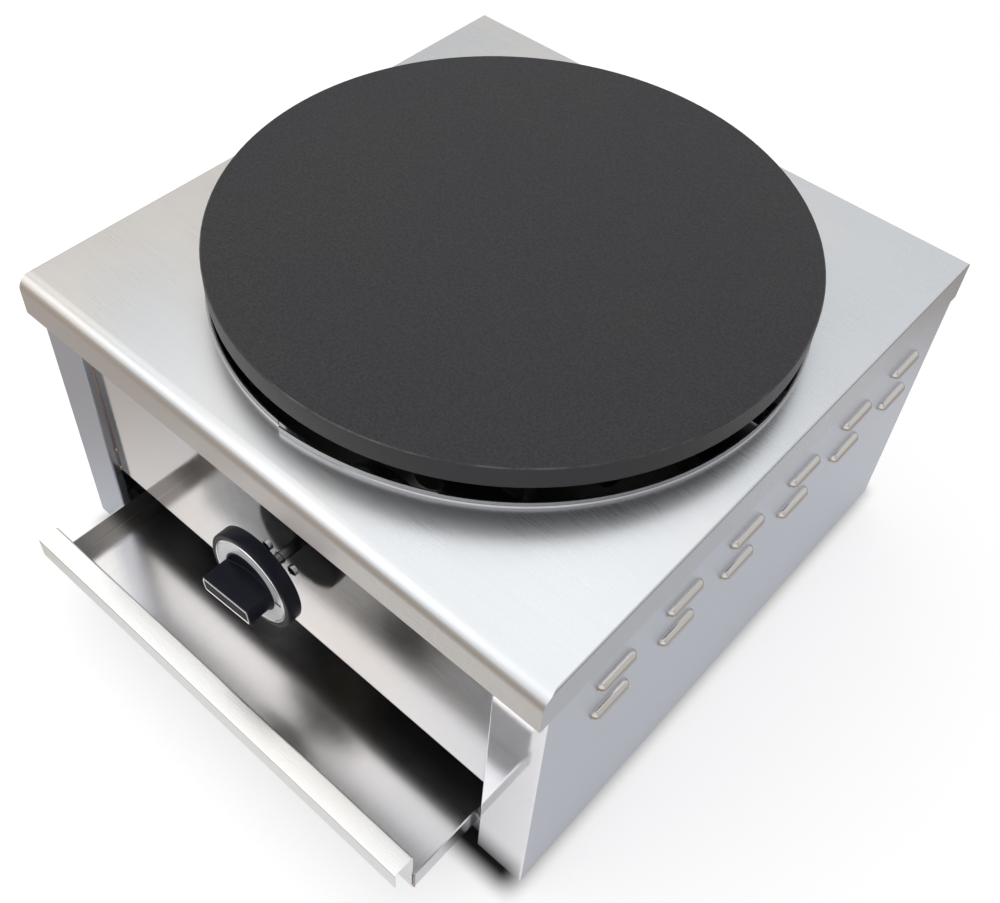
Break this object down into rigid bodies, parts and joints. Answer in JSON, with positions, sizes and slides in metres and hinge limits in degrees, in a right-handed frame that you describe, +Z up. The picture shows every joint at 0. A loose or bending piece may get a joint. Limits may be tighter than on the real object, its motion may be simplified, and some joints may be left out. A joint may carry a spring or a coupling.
{
  "type": "gas crepe maker",
  "caption": "Countertop gas crepe maker: folded stainless cabinet with louvred sides, a round cast cooking plate over a star burner, a push-and-turn knob and a sliding drip drawer.",
  "frame": {"origin": "on the surface that the feet stand on, under the middle of the cover", "axes": "+Z up, the front with the knob and the drawer looks along -Y, +X to the right of someone facing it"},
  "size_m": [0.4518, 0.5393, 0.298],
  "materials": {
    "brushed_stainless": "brushed along the width",
    "bright_stainless": "bright, near mirror",
    "drum_stainless": "rolled sheet",
    "frame_steel": "dull",
    "burner_steel": "dull, heat worn",
    "fastener_steel": "plated",
    "cast_plate": "matte, machined flat",
    "alloy": "plain",
    "tap_brass": "machined",
    "stem_steel": "ground",
    "spring_steel": "drawn wire",
    "foot_rubber": "matte",
    "knob_plastic": "satin",
    "dial_silver": "bright, bare",
    "dial_chrome": "polished",
    "end_plate_metal": "dark field with a bright rim, bare"
  },
  "bodies": {
    "cabinet": {"top_cover": "brushed_stainless", "front_panel": "brushed_stainless", "back_panel": "brushed_stainless", "front_rail": "brushed_stainless", "rear_rail": "brushed_stainless", "left_runner": "brushed_stainless", "right_runner": "brushed_stainless", "left_side_panel": "bright_stainless", "right_side_panel": "bright_stainless", "burner_drum": "drum_stainless", "drum_strap": "drum_stainless", "front_cross_bar": "frame_steel", "rear_cross_bar": "frame_steel", "burner_bracket": "frame_steel", "pillar_front_left": "frame_steel", "pillar_front_right": "frame_steel", "pillar_rear_left": "frame_steel", "pillar_rear_right": "frame_steel", "burner_hub": "burner_steel", "burner_arms": "burner_steel", "back_screws": "fastener_steel", "foot_screws": "fastener_steel", "foot_nuts": "fastener_steel", "pillar_nuts": "fastener_steel", "burner_bolts": "fastener_steel", "tap_screws": "fastener_steel", "mixing_tube": "alloy", "supply_pipe": "alloy", "injector": "tap_brass", "tap_body": "tap_brass", "tap_bonnet": "tap_brass", "pipe_nuts": "tap_brass", "inlet_connector": "tap_brass", "inlet_locknut": "tap_brass", "foot_front_left": "foot_rubber", "foot_front_right": "foot_rubber", "foot_rear_left": "foot_rubber", "foot_rear_right": "foot_rubber"},
    "drawer": {"drawer_tray": "brushed_stainless", "drawer_front": "brushed_stainless"},
    "plate": {"cooking_plate": "cast_plate"},
    "tap_rotor": {"tap_plug": "tap_brass", "tap_spring": "spring_steel"},
    "knob": {"tap_stem": "stem_steel", "knob_body": "knob_plastic", "dial_ring": "dial_silver", "dial_bezel": "dial_chrome", "knob_end_plate": "end_plate_metal"},
    "shutter": {"air_shutter": "alloy"}
  },
  "joints": [
    {"name": "drawer_slide", "type": "slide", "parent": "cabinet", "child": "drawer", "axis": [0, -1, 0], "range_m": [-0.063, 0.2]},
    {"name": "plate_lift", "type": "slide", "parent": "cabinet", "child": "plate", "axis": [0, 0, 1], "range_m": [0, 0.12]},
    {"name": "tap_turn", "type": "hinge", "parent": "cabinet", "child": "tap_rotor", "pos_m": [0, -0.184, 0.154], "axis": [0, -1, 0], "range_deg": [0, 180]},
    {"name": "knob_push", "type": "slide", "parent": "tap_rotor", "child": "knob", "axis": [0, 1, 0], "range_m": [0, 0.003], "stiffness_N_per_m": 900, "springref_m": -0.008, "deforming": ["tap_spring"]},
    {"name": "air_shutter_turn", "type": "hinge", "parent": "cabinet", "child": "shutter", "pos_m": [0, -0.148, 0.154], "axis": [0, 1, 0], "range_deg": [0, 45]}
  ]
}
